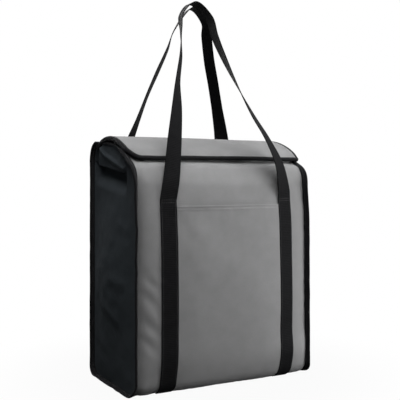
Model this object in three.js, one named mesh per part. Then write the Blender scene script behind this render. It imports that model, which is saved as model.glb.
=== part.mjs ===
// Insulated tote cooler bag: padded walls of woven fabric, foam and lining, a lid flap hinged on the back
// panel, bound seams, and two carry handles that run on from webbing sewn to the front and back.
// Millimetres, +Z up. The origin is the middle of the base, and the front faces -Y.
import * as THREE from 'three';

// Body
const panelWidth = 350; // front and back panels, seam to seam
const panelDepth = 196; // gussets, seam to seam
const baseRadius = 22; // rounded lower edge of the front and back panels
const shoulderHeight = 359; // where the front panel starts to lean in
const backShoulderRise = 44; // the back panel starts to turn over this much higher
const shoulderSpread = 0.4; // reach of the front shoulder's curve, as a share of its height
const shoulderLead = 1.7; // its lower end reaches this much further
const backSpread = 0.45; // the same for the back shoulder
const backLead = 1.3;
const frontBulge = 25; // how far the filled front stands out at its middle
const backBulge = 9;
const gussetBulge = 7;
const bulgeReach = 1.08; // the bulge ends a little above the front shoulder
const bulgeFullness = 0.75; // below 1, the bulge is broad and steep at the seams
const bulgeDrop = 0.8; // below 1, the bulge is fullest below its middle
const tuckDepth = 20; // how far the gusset's top is folded in under the lid
const tuckLead = 0.3; // part of the tuck that is already there at the crease

// Lid
const hingeSetback = 26; // hinge line, in from the back face
const hingeRise = 34; // hinge line, above the back shoulder
const lidFrontSetback = 24; // front edge of the lid, in from the front face
const lidDrop = 26; // front edge of the lid, below the hinge
const lidBackRise = 17; // steers the crown of the lid behind its middle
const lidBackReach = 0.29; // how far along the lid that steering acts
const lidFrontRise = 28; // steers the slope of the lid before its middle
const lidFrontReach = 0.27;
const lidOverhang = 1; // lid past the panel's edge on each side

// Layers of every wall
const fabricThickness = 1;
const foamThickness = 4;
const liningThickness = 0.7;
const boardThickness = 2;
const clearance = 0.3; // between layers that lie on each other

// Tapes
const seamInset = 1.5; // panels stop this far short of the seam line
const seamTapeWidth = 9; // bound seam that stands out round each gusset
const seamTapeThickness = 2.2;
const seamTapeAngle = Math.PI / 4; // how far the bound seam stands up from the gusset
const edgeTapeWidth = 8; // folded tape round the lid and the mouth
const edgeTapeThickness = 0.9;
const gussetTapeWidth = 3.5; // narrower where the tucked gusset is gathered
const looseFold = 0.9; // the mouth's tape lies a little loose on the tucked gusset
const stripLength = 220; // hook and loop strips under the lid
const stripThickness = 0.7;

// Webbing and pocket
const strapWidth = 30;
const strapThickness = 1.6;
const strapShare = 0.686; // straps, centre to centre, as a share of the panel's width
const strapEndDrop = 22; // the sewn webbing ends and the handle starts this far below the shoulder
const handleHeight = 360; // free loop, above the sewn ends
const pocketDrop = 14; // mouth of the pocket, below the end of the sewn webbing
const pocketThickness = 1;

// Worked out from the sizes above
const halfWidth = panelWidth / 2;
const halfDepth = panelDepth / 2;
const backShoulderHeight = shoulderHeight + backShoulderRise;
const hingeHeight = backShoulderHeight + hingeRise;
const lidFrontHeight = hingeHeight - lidDrop;
const strapEndHeight = shoulderHeight - strapEndDrop;
const pocketHeight = strapEndHeight - pocketDrop;
const foamDepth = fabricThickness + clearance;
const liningDepth = foamDepth + foamThickness + clearance;
const wallThickness = liningDepth + liningThickness;
const closureGap = 2 * stripThickness + 3 * clearance;
const mouthDepth = wallThickness + closureGap; // front panel's face, below the lid's face
const innerInset = wallThickness + 2 * clearance; // gusset padding, clear of the walls it meets
const strapSpacing = strapShare * panelWidth;
const strapInner = strapSpacing / 2 - strapWidth / 2;
const strapOuter = strapSpacing / 2 + strapWidth / 2;
const strapLift = clearance + strapThickness;
const lidHalf = halfWidth + lidOverhang;

const finish = (color, roughness) => new THREE.MeshStandardMaterial({ color, roughness, metalness: 0 });
const greyFabric = finish(0x8a8a8c, 0.9);
const blackFabric = finish(0x24272b, 0.85);
const webbing = finish(0x17181a, 0.8);
const tape = finish(0x121315, 0.8);
const foam = finish(0xd9d9d4, 0.95);
const lining = finish(0xb9bdc2, 0.35);
const board = finish(0x2b2b2d, 0.6);
const hookLoop = finish(0x1b1b1d, 0.95);

// A closed body from points and triangles, with its faces turned outwards.
function closedBody(points, faces) {
  let volume = 0;
  for (const [a, b, c] of faces) {
    volume += points[a].dot(points[b].clone().cross(points[c]));
  }
  const outward = volume < 0 ? faces.map(([a, b, c]) => [a, c, b]) : faces;
  const geometry = new THREE.BufferGeometry().setFromPoints(points);
  geometry.setIndex(outward.flat());
  geometry.computeVertexNormals();
  return geometry;
}

// A sheet between two grids of points that have the same rows and columns.
function sheet(upper, lower) {
  const rows = upper.length;
  const columns = upper[0].length;
  const points = [...upper.flat(), ...lower.flat()];
  const below = rows * columns;
  const at = (row, column) => row * columns + column;
  const faces = [];
  for (let r = 0; r + 1 < rows; r += 1) {
    for (let c = 0; c + 1 < columns; c += 1) {
      const [p, q, s, t] = [at(r, c), at(r + 1, c), at(r + 1, c + 1), at(r, c + 1)];
      faces.push([p, q, s], [p, s, t]);
      faces.push([below + p, below + s, below + q], [below + p, below + t, below + s]);
    }
  }
  const rim = [];
  for (let r = 0; r + 1 < rows; r += 1) rim.push(at(r, 0));
  for (let c = 0; c + 1 < columns; c += 1) rim.push(at(rows - 1, c));
  for (let r = rows - 1; r > 0; r -= 1) rim.push(at(r, columns - 1));
  for (let c = columns - 1; c > 0; c -= 1) rim.push(at(0, c));
  rim.forEach((p, i) => {
    const q = rim[(i + 1) % rim.length];
    faces.push([q, p, below + p], [q, below + p, below + q]);
  });
  return closedBody(points, faces);
}

// A body swept through closed rings of points, with flat ends.
function sweep(rings, outline) {
  const count = outline.length;
  const points = rings.flat();
  const last = (rings.length - 1) * count;
  const faces = [];
  for (let r = 0; r + 1 < rings.length; r += 1) {
    for (let i = 0; i < count; i += 1) {
      const [p, q] = [r * count + i, r * count + (i + 1) % count];
      faces.push([p, q, q + count], [p, q + count, p + count]);
    }
  }
  for (const [a, b, c] of THREE.ShapeUtils.triangulateShape(outline, [])) {
    faces.push([a, c, b], [last + a, last + b, last + c]);
  }
  return closedBody(points, faces);
}

function piece(name, geometry, material) {
  const mesh = new THREE.Mesh(geometry, material);
  mesh.name = name;
  return mesh;
}

// Pieces that turn together about one line sit in a group placed on that line.
function turningGroup(pivot, meshes) {
  const group = new THREE.Group();
  group.position.copy(pivot);
  for (const mesh of meshes) {
    mesh.geometry.translate(-pivot.x, -pivot.y, -pivot.z);
    group.add(mesh);
  }
  return group;
}

// A station is a point of the side profile with its outward normal, both in the YZ plane.
const moved = (s, lift) => ({ ...s, y: s.y + s.ny * lift, z: s.z + s.nz * lift });

function stationOn(curve, share, side) {
  const p = curve.getPoint(share);
  const t = curve.getTangent(share);
  return { y: p.x, z: p.y, ny: side * t.y, nz: -side * t.x };
}

// Side profile of the lid, from its hinge over the crown to its front edge.
const hinge = new THREE.Vector2(halfDepth - hingeSetback, hingeHeight);
const lidFront = new THREE.Vector2(lidFrontSetback - halfDepth, lidFrontHeight);
const lidReach = hinge.x - lidFront.x;
const lidCurve = new THREE.CubicBezierCurve(
  hinge,
  new THREE.Vector2(hinge.x - lidBackReach * lidReach, hinge.y + lidBackRise),
  new THREE.Vector2(lidFront.x + lidFrontReach * lidReach, lidFront.y + lidFrontRise),
  lidFront,
);
const hingeShare = clearance / lidReach;
const overlapShares = [1, 0.92, 0.82, 0.72]; // where the lid lies over the front panel
const crownShares = [0.1, 0.22, 0.36, 0.5, 0.62];
const lidShares = [hingeShare, ...crownShares, ...[...overlapShares].reverse()];
const lidStations = lidShares.map((share) => stationOn(lidCurve, share, 1));

// Side profiles of the front and back panels, from the bottom seam up.
const cornerTurns = [90, 60, 30, 0].map(THREE.MathUtils.degToRad);
const sideShares = [0.3, 0.55, 0.76]; // heights on the plain wall, up to the end of the sewn webbing
const sideHeights = sideShares.map((share) => share * strapEndHeight);
const plainHeights = [...sideHeights, pocketHeight, strapEndHeight];

function lowerStations(side) {
  const corner = cornerTurns.map((turn) => ({
    y: side * (halfDepth - baseRadius * (1 - Math.cos(turn))),
    z: baseRadius * (1 - Math.sin(turn)),
    ny: side * Math.cos(turn),
    nz: -Math.sin(turn),
  }));
  const straight = plainHeights.map((z) => ({ y: side * halfDepth, z, ny: side, nz: 0 }));
  return [...corner, ...straight];
}

const mouthStations = overlapShares.map((share) => moved(stationOn(lidCurve, share, 1), -mouthDepth));
const lidSlope = lidCurve.getTangent(1);
const shoulderRun = shoulderSpread * (mouthStations[0].z - shoulderHeight);
const shoulderShares = [0, 0.35, 0.7];
const frontShoulder = new THREE.CubicBezierCurve(
  new THREE.Vector2(-halfDepth, shoulderHeight),
  new THREE.Vector2(-halfDepth, shoulderHeight + shoulderLead * shoulderRun),
  new THREE.Vector2(mouthStations[0].y, mouthStations[0].z).addScaledVector(lidSlope, shoulderRun),
  new THREE.Vector2(mouthStations[0].y, mouthStations[0].z),
);
const frontStations = [
  ...lowerStations(-1),
  ...shoulderShares.map((share) => stationOn(frontShoulder, share, -1)),
  ...mouthStations,
];

const lidStart = lidCurve.getTangent(0);
const backRun = backSpread * (hingeHeight - backShoulderHeight);
const backShares = [0, 0.25, 0.45, 0.62, 0.78, 1 - hingeShare];
const backShoulder = new THREE.CubicBezierCurve(
  new THREE.Vector2(halfDepth, backShoulderHeight),
  new THREE.Vector2(halfDepth, backShoulderHeight + backLead * backRun),
  hinge.clone().addScaledVector(lidStart, -backRun),
  hinge,
);
const backRise = (strapEndHeight + backShoulderHeight) / 2;
const backStations = [
  ...lowerStations(1),
  { y: halfDepth, z: backRise, ny: 1, nz: 0 },
  ...backShares.map((share) => stationOn(backShoulder, share, 1)),
];
const lowerCount = cornerTurns.length + plainHeights.length;
const strapTop = lowerCount; // stations up to the end of the sewn webbing
const pocketTop = lowerCount - 1;
const wrapStart = 1; // webbing and pocket stop on the rounded edge, above the base

// How far a wall stands out from its flat profile: most at the middle, nothing at the seams.
const bulgeTop = bulgeReach * shoulderHeight;
function swell(bulge, x, z) {
  const across = Math.max(0, 1 - (x / halfWidth) ** 2) ** bulgeFullness;
  const height = THREE.MathUtils.clamp(z / bulgeTop, 0, 1) ** bulgeDrop;
  const upward = Math.sin(Math.PI * height);
  return bulge * across * upward;
}

// One layer of a wall, between two lifts from the wall's outer face.
function wallLayer(stations, columns, bulge, low, high) {
  const face = (lift) => stations.map((s) => columns.map((x) => {
    const p = moved(s, swell(bulge, x, s.z) + lift);
    return new THREE.Vector3(x, p.y, p.z);
  }));
  return sheet(face(high), face(low));
}

const halfColumns = [strapInner / 2, strapInner, strapOuter, halfWidth - innerInset, halfWidth - seamInset];
const wallColumns = [...halfColumns.map((x) => -x).reverse(), 0, ...halfColumns];
const padColumns = wallColumns.slice(1, -1);
const foamLow = -(foamDepth + foamThickness);
const bag = new THREE.Group();

function addWall(name, stations, bulge) {
  const padStations = stations.slice(wrapStart);
  const panelLayer = wallLayer(stations, wallColumns, bulge, -fabricThickness, 0);
  const foamLayer = wallLayer(padStations, padColumns, bulge, foamLow, -foamDepth);
  const liningLayer = wallLayer(padStations, padColumns, bulge, -wallThickness, -liningDepth);
  bag.add(piece(`${name}_panel`, panelLayer, greyFabric));
  bag.add(piece(`${name}_foam`, foamLayer, foam));
  bag.add(piece(`${name}_lining`, liningLayer, lining));
  const strapStations = stations.slice(wrapStart, strapTop);
  const sewn = [['left', [-strapOuter, -strapInner]], ['right', [strapInner, strapOuter]]];
  for (const [hand, columns] of sewn) {
    const strap = wallLayer(strapStations, columns, bulge, clearance, strapLift);
    bag.add(piece(`${name}_${hand}_strap`, strap, webbing));
  }
}
addWall('front', frontStations, frontBulge);
addWall('back', backStations, backBulge);

// The pocket lies flat on the front panel and is caught along both straps.
const pocketEdge = strapInner - clearance;
const pocketColumns = [-pocketEdge, -strapInner / 2, 0, strapInner / 2, pocketEdge];
const pocketStations = frontStations.slice(wrapStart, pocketTop);
const pocketLift = clearance + pocketThickness;
bag.add(piece(
  'front_pocket',
  wallLayer(pocketStations, pocketColumns, frontBulge, clearance, pocketLift),
  greyFabric,
));

// Flat base: outer fabric, stiffening board, foam and lining in one stack.
const baseFlat = panelDepth - 2 * baseRadius;
const baseStack = [
  ['bottom_panel', fabricThickness, panelWidth - 2 * seamInset, baseFlat - 2 * clearance, blackFabric],
  ['base_board', boardThickness, panelWidth - 2 * innerInset, baseFlat - 2 * wallThickness, board],
  ['bottom_foam', foamThickness, panelWidth - 2 * innerInset, baseFlat, foam],
  ['bottom_lining', liningThickness, panelWidth - 2 * innerInset, baseFlat + wallThickness, lining],
];
let baseLevel = 0;
for (const [name, thickness, width, depth, material] of baseStack) {
  const mesh = piece(name, new THREE.BoxGeometry(width, depth, thickness), material);
  mesh.position.z = baseLevel + thickness / 2;
  bag.add(mesh);
  baseLevel += thickness + clearance;
}

// Gussets: one row of points for each pair of front and back stations. The first and last columns are
// the seams, and the padding fills the columns between them.
const gussetShares = [0, 0.2, 0.4, 0.6, 0.8, 1];
const creaseRow = lowerCount + 1; // fold between the bulging wall and the tucked top
const padRow = 2; // lowest row that clears the lining of the base

function gussetRow(row) {
  const seamFront = moved(frontStations[row], -seamInset);
  const seamBack = moved(backStations[row], -seamInset);
  const padInset = row === 0 ? seamInset : innerInset;
  const padFront = moved(frontStations[row], -padInset);
  const padBack = moved(backStations[row], -padInset);
  const inner = row === 0 ? innerInset / panelDepth : 0;
  const between = gussetShares.map((share) => {
    const along = THREE.MathUtils.lerp(inner, 1 - inner, share);
    return {
      y: THREE.MathUtils.lerp(padFront.y, padBack.y, along),
      z: THREE.MathUtils.lerp(padFront.z, padBack.z, along),
      bow: gussetBow(row, share),
    };
  });
  return [{ ...seamFront, bow: 0 }, ...between, { ...seamBack, bow: 0 }];
}

function gussetBow(row, share) {
  const across = 4 * share * (1 - share);
  if (row <= creaseRow) {
    return gussetBulge * across * Math.sin((Math.PI * row) / creaseRow);
  }
  const up = (row - creaseRow) / (frontStations.length - 1 - creaseRow);
  return -tuckDepth * across * THREE.MathUtils.smoothstep(up, -tuckLead, 1);
}

const gussetRows = frontStations.map((_, row) => gussetRow(row));
const gussetPoint = (side, cell, depth) => new THREE.Vector3(
  side * (halfWidth + cell.bow - depth),
  cell.y,
  cell.z,
);

function gussetLayer(side, rows, outer, inner) {
  const face = (depth) => rows.map((cells) => cells.map((cell) => gussetPoint(side, cell, depth)));
  return sheet(face(outer), face(inner));
}

// Folded tape over an edge: a U section, open towards the panel, at each station along the edge.
function edgeTape(stations, thickness, gap, width) {
  const out = gap + edgeTapeThickness;
  const outline = [
    [width, gap], [width, out], [-out, out], [-out, -thickness - out],
    [width, -thickness - out], [width, -thickness - gap], [-gap, -thickness - gap], [-gap, gap],
  ].map(([x, y]) => new THREE.Vector2(x, y));
  const rings = stations.map(({ point, inward, normal }) => outline.map((o) => (
    point.clone().addScaledVector(inward, o.x).addScaledVector(normal, o.y)
  )));
  return sweep(rings, outline);
}

function gussetMouthTape(side) {
  const top = gussetRows.at(-1).slice(1, -1);
  const under = gussetRows.at(-2).slice(1, -1);
  const stations = top.map((cell, i) => {
    const point = gussetPoint(side, cell, 0);
    const inward = gussetPoint(side, under[i], 0).sub(point).normalize();
    return { point, inward, normal: new THREE.Vector3(side, 0, 0) };
  });
  return edgeTape(stations, wallThickness, looseFold, gussetTapeWidth);
}

// Bound seam: stands out along the walls and lies flat beside the base. Its root sits in the seam.
const seamRoot = seamInset / 3;

function seamTape(side) {
  const flatness = (s) => Math.max(0, -s.nz);
  const frontRun = frontStations.slice(0, lowerCount + shoulderShares.length).reverse();
  const backRunUp = backStations.slice(0, -1);
  const half = seamTapeThickness / 2;
  const rows = [...frontRun, ...backRunUp].map((s) => {
    const flat = flatness(s);
    const rootX = THREE.MathUtils.lerp(halfWidth - seamRoot, halfWidth + clearance, flat);
    const rootLift = THREE.MathUtils.lerp(-seamRoot, -half - clearance, flat);
    const angle = seamTapeAngle * (1 - flat);
    const [across, out] = [Math.cos(angle), Math.sin(angle)];
    return [0, seamTapeWidth].map((reach) => [-half, half].map((thick) => {
      const p = moved(s, rootLift + reach * out + thick * across);
      return new THREE.Vector3(side * (rootX + reach * across - thick * out), p.y, p.z);
    }));
  });
  const face = (index) => rows.map((row) => row.map((pair) => pair[index]));
  return sheet(face(1), face(0));
}

for (const [hand, side] of [['left', -1], ['right', 1]]) {
  const padRows = gussetRows.slice(padRow).map((cells) => cells.slice(1, -1));
  const foamEnd = foamDepth + foamThickness;
  bag.add(piece(`${hand}_gusset`, gussetLayer(side, gussetRows, 0, fabricThickness), blackFabric));
  bag.add(piece(`${hand}_foam`, gussetLayer(side, padRows, foamDepth, foamEnd), foam));
  bag.add(piece(`${hand}_lining`, gussetLayer(side, padRows, liningDepth, wallThickness), lining));
  bag.add(piece(`${hand}_seam_tape`, seamTape(side), tape));
  bag.add(piece(`${hand}_mouth_tape`, gussetMouthTape(side), tape));
}

// Bound upper edge of the front panel, under the lid.
const mouthEnd = frontStations.at(-1);
const mouthBefore = frontStations.at(-2);
const mouthStep = new THREE.Vector3(0, mouthBefore.y - mouthEnd.y, mouthBefore.z - mouthEnd.z);
const mouthInward = mouthStep.normalize();
const mouthEdge = [-1, 1].map((side) => ({
  point: new THREE.Vector3(side * (halfWidth - innerInset - edgeTapeWidth), mouthEnd.y, mouthEnd.z),
  inward: mouthInward,
  normal: new THREE.Vector3(0, mouthInward.z, -mouthInward.y),
}));
bag.add(piece('front_mouth_tape', edgeTape(mouthEdge, wallThickness, clearance, edgeTapeWidth), tape));

// Hook and loop closure between the lid and the front panel.
const stripColumns = [-stripLength / 2, stripLength / 2];
const stripShares = overlapShares.slice(1, 3);
const stripStations = stripShares.map((share) => stationOn(lidCurve, share, 1));
const hookHigh = -(wallThickness + clearance);
const loopHigh = hookHigh - stripThickness - clearance;
const loopLayer = wallLayer(stripStations, stripColumns, 0, loopHigh - stripThickness, loopHigh);
const hookLayer = wallLayer(stripStations, stripColumns, 0, hookHigh - stripThickness, hookHigh);
bag.add(piece('loop_strip', loopLayer, hookLoop));

// Lid, on its hinge line along the outer skin of the back.
const lidColumns = [-lidHalf, lidHalf];
const lidPadColumns = [-lidHalf + edgeTapeThickness, lidHalf - edgeTapeThickness];
const lidTapeStart = 1;

function lidTapeStations() {
  const frontInward = lidStations.at(-2);
  const end = lidStations.at(-1);
  const back = new THREE.Vector3(0, frontInward.y - end.y, frontInward.z - end.z).normalize();
  const run = lidStations.slice(lidTapeStart, -1);
  const alongSide = (side) => run.map((s) => ({
    point: new THREE.Vector3(side * lidHalf, s.y, s.z),
    inward: new THREE.Vector3(-side, 0, 0),
    normal: new THREE.Vector3(0, s.ny, s.nz),
  }));
  const corner = (side) => ({
    point: new THREE.Vector3(side * lidHalf, end.y, end.z),
    inward: new THREE.Vector3(-side, 0, 0).add(back),
    normal: new THREE.Vector3(0, end.ny, end.nz),
  });
  return [...alongSide(-1), corner(-1), corner(1), ...alongSide(1).reverse()];
}

const lidPivot = new THREE.Vector3(0, hinge.x, hinge.y);
const lid = turningGroup(lidPivot, [
  piece('lid_panel', wallLayer(lidStations, lidColumns, 0, -fabricThickness, 0), greyFabric),
  piece('lid_foam', wallLayer(lidStations, lidPadColumns, 0, foamLow, -foamDepth), foam),
  piece('lid_lining', wallLayer(lidStations, lidPadColumns, 0, -wallThickness, -liningDepth), lining),
  piece('lid_tape', edgeTape(lidTapeStations(), wallThickness, clearance, edgeTapeWidth), tape),
  piece('hook_strip', hookLayer, hookLoop),
]);

// Handles: flat webbing that twists a quarter turn on its way up each leg. A row gives the place across
// as a share of half the strap spacing, the lean towards the middle as a share of the way there, the
// height as a share of the rise, and the turn of the webbing in degrees.
const frontRoute = [
  [-1, 0, 0, 0], [-0.975, -0.05, 0.137, 7], [-0.896, 0.03, 0.281, 18], [-0.79, 0.175, 0.428, 33],
  [-0.669, 0.385, 0.575, 53], [-0.529, 0.578, 0.719, 57], [-0.469, 0.706, 0.842, 68],
  [-0.423, 0.786, 0.93, 80], [-0.207, 0.83, 0.997, 90], [0.05, 0.769, 0.925, 86],
  [0.119, 0.694, 0.825, 83], [0.221, 0.548, 0.7, 74], [0.368, 0.335, 0.542, 56],
  [0.518, 0.145, 0.403, 43], [0.693, 0.04, 0.295, 38], [0.874, -0.035, 0.16, 26], [1, 0, 0, 0],
];
const backRoute = [
  [-1, 0, 0, 0], [-0.958, -0.055, 0.15, 18], [-0.831, -0.045, 0.28, 37], [-0.699, 0.025, 0.408, 52],
  [-0.576, 0.13, 0.54, 58], [-0.463, 0.315, 0.667, 56], [-0.367, 0.5, 0.78, 60],
  [-0.31, 0.666, 0.88, 71], [-0.064, 0.832, 0.997, 84], [0.236, 0.743, 0.933, 95],
  [0.297, 0.637, 0.867, 100], [0.431, 0.461, 0.747, 101], [0.613, 0.25, 0.625, 103],
  [0.761, 0.1, 0.497, 107], [0.89, -0.01, 0.361, 125], [0.972, -0.05, 0.19, 165], [1, 0, 0, 180],
];
const handleSteps = 44;

function handle(name, side, bulge, route) {
  const rootLift = swell(bulge, strapInner, strapEndHeight) + clearance;
  const rootY = side * (halfDepth + rootLift + strapThickness / 2);
  const rootZ = strapEndHeight + clearance;
  const path = new THREE.CatmullRomCurve3(route.map(([across, lean, up]) => new THREE.Vector3(
    (across * strapSpacing) / 2,
    rootY * (1 - lean),
    rootZ + up * handleHeight,
  )));
  const turns = new THREE.SplineCurve(route.map((row, i) => new THREE.Vector2(i, row[3])));
  const rows = [];
  for (let i = 0; i <= handleSteps; i += 1) {
    const share = i / handleSteps;
    const along = i === 0 || i === handleSteps
      ? new THREE.Vector3(0, 0, 1)
      : path.getTangent(share);
    const turn = THREE.MathUtils.degToRad(turns.getPoint(share).y);
    const flat = new THREE.Vector3(Math.cos(turn), Math.sin(turn), 0);
    const width = flat.addScaledVector(along, -flat.dot(along)).normalize();
    const normal = along.clone().cross(width);
    const centre = path.getPoint(share);
    rows.push([-0.5, 0.5].map((edge) => [-0.5, 0.5].map((thick) => centre.clone()
      .addScaledVector(width, edge * strapWidth)
      .addScaledVector(normal, thick * strapThickness))));
  }
  const face = (index) => rows.map((row) => row.map((pair) => pair[index]));
  const pivot = new THREE.Vector3(0, side * (halfDepth + rootLift + strapThickness), strapEndHeight);
  return turningGroup(pivot, [piece(name, sheet(face(1), face(0)), webbing)]);
}

const coolerBag = new THREE.Group();
coolerBag.add(
  bag,
  lid,
  handle('front_handle', -1, frontBulge, frontRoute),
  handle('back_handle', 1, backBulge, backRoute),
);

export default coolerBag;
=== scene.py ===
import math

import bmesh
import bpy
import numpy as np
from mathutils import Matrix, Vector, noise


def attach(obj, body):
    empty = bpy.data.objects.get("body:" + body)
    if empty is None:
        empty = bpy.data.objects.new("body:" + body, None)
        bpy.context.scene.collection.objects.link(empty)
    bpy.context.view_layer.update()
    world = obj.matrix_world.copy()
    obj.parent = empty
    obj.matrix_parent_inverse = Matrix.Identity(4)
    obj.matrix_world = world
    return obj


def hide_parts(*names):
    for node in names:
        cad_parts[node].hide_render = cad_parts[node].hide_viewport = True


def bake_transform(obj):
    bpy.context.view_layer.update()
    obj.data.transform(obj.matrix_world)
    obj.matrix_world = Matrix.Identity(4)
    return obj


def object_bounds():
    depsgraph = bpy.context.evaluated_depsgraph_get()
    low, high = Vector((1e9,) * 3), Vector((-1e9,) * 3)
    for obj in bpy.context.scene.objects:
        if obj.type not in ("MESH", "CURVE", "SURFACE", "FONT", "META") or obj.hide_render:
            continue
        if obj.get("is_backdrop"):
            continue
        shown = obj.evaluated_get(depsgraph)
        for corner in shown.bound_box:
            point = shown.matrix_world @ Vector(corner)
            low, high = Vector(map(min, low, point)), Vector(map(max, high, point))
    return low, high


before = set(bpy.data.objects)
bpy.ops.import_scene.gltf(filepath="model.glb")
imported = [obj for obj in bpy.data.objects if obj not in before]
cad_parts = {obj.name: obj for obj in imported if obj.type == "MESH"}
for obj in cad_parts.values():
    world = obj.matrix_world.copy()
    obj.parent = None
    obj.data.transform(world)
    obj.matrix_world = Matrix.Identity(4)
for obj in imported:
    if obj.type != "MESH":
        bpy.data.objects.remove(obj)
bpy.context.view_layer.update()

# Studio: a pale floor that keeps a soft shadow, and white all round. Broad lamps hang above and in front,
# one stands low on the right, and weaker ones are at the left and behind. The camera stands where the
# photograph was taken from.
scene = bpy.context.scene
scene.view_settings.view_transform = "Standard"
camera_lens = bpy.data.cameras.new("camera")
camera_lens.sensor_width = 36.0
camera_lens.lens = 65.16
camera_lens.shift_y = -0.05
camera = bpy.data.objects.new("camera", camera_lens)
camera.location = (-0.667, -1.204, 0.367)
camera.rotation_euler = (math.radians(90), 0, math.radians(-29))
scene.collection.objects.link(camera)
scene.camera = camera
for name, place, size, power in (
    ("top_lamp", (0.0, -0.1, 2.5), 2.6, 34), ("front_lamp", (0.0, -1.2, 2.2), 2.4, 34),
    ("right_top_lamp", (1.3, -0.6, 2.2), 2.0, 5), ("right_lamp", (1.25, -0.62, 0.15), 0.9, 25),
    ("left_top_lamp", (-0.9, -0.6, 2.5), 1.2, 16), ("back_lamp", (0.2, 1.9, 1.0), 1.4, 28),
):
    panel = bpy.data.lights.new(name, "AREA")
    panel.shape = "DISK"
    panel.size = size
    panel.energy = power
    made = bpy.data.objects.new(name, panel)
    made.location = place
    aim = Vector((0, 0, 0.3)) - Vector(place)
    made.rotation_euler = aim.to_track_quat("-Z", "Y").to_euler()
    scene.collection.objects.link(made)


def node(tree, kind, inputs=None, **settings):
    made = tree.nodes.new("ShaderNode" + kind)
    for key, value in settings.items():
        setattr(made, key, value)
    for key, value in (inputs or {}).items():
        if isinstance(value, bpy.types.NodeSocket):
            tree.links.new(value, made.inputs[key])
        else:
            made.inputs[key].default_value = value
    return made


def reckon(tree, operation, first, second=0.0):
    return node(tree, "Math", {0: first, 1: second}, operation=operation).outputs[0]


def object_place(tree):
    return node(tree, "TexCoord").outputs["Object"]


def new_finish(name):
    finish = bpy.data.materials.new(name)
    finish.use_nodes = True
    return finish, finish.node_tree


def rays_seen(tree):
    """Rays from the camera, and rays mirrored or let through on the way to it."""
    rays = node(tree, "LightPath").outputs
    mirrored = reckon(tree, "MAXIMUM", rays["Is Glossy Ray"], rays["Is Transmission Ray"])
    return rays["Is Camera Ray"], mirrored


room = bpy.data.worlds.new("white_room")
scene.world = room
room.use_nodes = True
room_tree = room.node_tree
room_tree.nodes.clear()
soft_light = node(room_tree, "Background", {"Color": (1, 1, 1, 1), "Strength": 0.035})
white = node(room_tree, "Background", {"Color": (1, 1, 1, 1), "Strength": 1.0})
room_seen = reckon(room_tree, "MAXIMUM", *rays_seen(room_tree))
room_mix = node(room_tree, "MixShader", {
    0: room_seen, 1: soft_light.outputs[0], 2: white.outputs[0],
})
node(room_tree, "OutputWorld", {"Surface": room_mix.outputs[0]})

floor_radius = 1.6
floor_mesh = bpy.data.meshes.new("studio_floor")
floor_shape = bmesh.new()
bmesh.ops.create_circle(floor_shape, cap_ends=True, radius=floor_radius, segments=96)
floor_shape.to_mesh(floor_mesh)
floor_shape.free()
floor = bpy.data.objects.new("studio_floor", floor_mesh)
floor.location = (0, 0, -0.0005)
scene.collection.objects.link(floor)
floor_paint, floor_tree = new_finish("pale_floor")
floor_tree.nodes.clear()
floor_place = object_place(floor_tree)
floor_distance = node(floor_tree, "VectorMath", {0: floor_place}, operation="LENGTH")


def floor_fade(near, far, low):
    return node(floor_tree, "MapRange", {
        "Value": floor_distance.outputs["Value"],
        "From Min": near, "From Max": far, "To Min": low, "To Max": 1.0,
    }, interpolation_type="SMOOTHSTEP").outputs[0]


floor_viewed, floor_mirrored = rays_seen(floor_tree)
floor_white = reckon(
    floor_tree, "MAXIMUM",
    reckon(floor_tree, "MULTIPLY", floor_fade(0.16, 0.5, 0.955), floor_viewed),
    reckon(floor_tree, "MULTIPLY", floor_fade(0.35, 1.2, 0.0), floor_mirrored),
)
floor_matt = node(floor_tree, "BsdfDiffuse", {"Color": (0.09, 0.09, 0.09, 1)})
floor_glow = node(floor_tree, "Emission", {"Color": (1, 1, 1, 1), "Strength": 1.0})
floor_mix = node(floor_tree, "MixShader", {
    0: floor_white, 1: floor_matt.outputs[0], 2: floor_glow.outputs[0],
})
node(floor_tree, "OutputMaterial", {"Surface": floor_mix.outputs[0]})
floor_mesh.materials.append(floor_paint)
floor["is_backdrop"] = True

# Front wall: grey woven polyester over a foam sheet, cut in one piece from the bottom seam, round the
# lower edge, up the face and over the shoulder to the mouth. Its sides are sewn into the gusset seams,
# and it swells between them.
half_width = 0.175
half_depth = 0.098
base_radius = 0.022
shoulder_height = 0.359
seam_inset = 0.0015
padding = 0.0053
front_bulge = 0.025
wall_edge = half_width - seam_inset
strap_line = 0.120


def bezier(corners, share):
    a, b, c, d = (np.array(corner) for corner in corners)
    t = np.asarray(share)[:, None]
    return (1 - t) ** 3 * a + 3 * (1 - t) ** 2 * t * b + 3 * (1 - t) * t ** 2 * c + t ** 3 * d


def unit(vectors):
    return vectors / np.linalg.norm(vectors, axis=-1, keepdims=True)


def run_of(line):
    steps = np.linalg.norm(np.diff(line, axis=0), axis=1)
    return np.concatenate([[0], np.cumsum(steps)])


def on_line(wanted, run, line):
    """Values along a line of points, at wanted distances of its run."""
    return np.stack([np.interp(wanted, run, column) for column in line.T], 1)


def stations(line, side, step):
    """Even steps along a side profile: distance, place and outward normal in the YZ plane."""
    run = run_of(line)
    along = np.linspace(0, run[-1], round(run[-1] / step) + 1)
    place = on_line(along, run, line)
    slope = np.gradient(place, along, axis=0)
    return along, place, unit(side * np.stack([slope[:, 1], -slope[:, 0]], 1))


def lower_line(side, top):
    """From the bottom seam round the lower edge and straight up."""
    turn = np.radians(np.linspace(90, 0, 15))
    corner_y = half_depth - base_radius * (1 - np.cos(turn))
    corner = np.stack([side * corner_y, base_radius * (1 - np.sin(turn))], 1)
    return np.concatenate([corner, [[side * half_depth, top]]])


def smooth(low, high, value):
    t = np.clip((value - low) / (high - low), 0, 1)
    return t * t * (3 - 2 * t)


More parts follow.
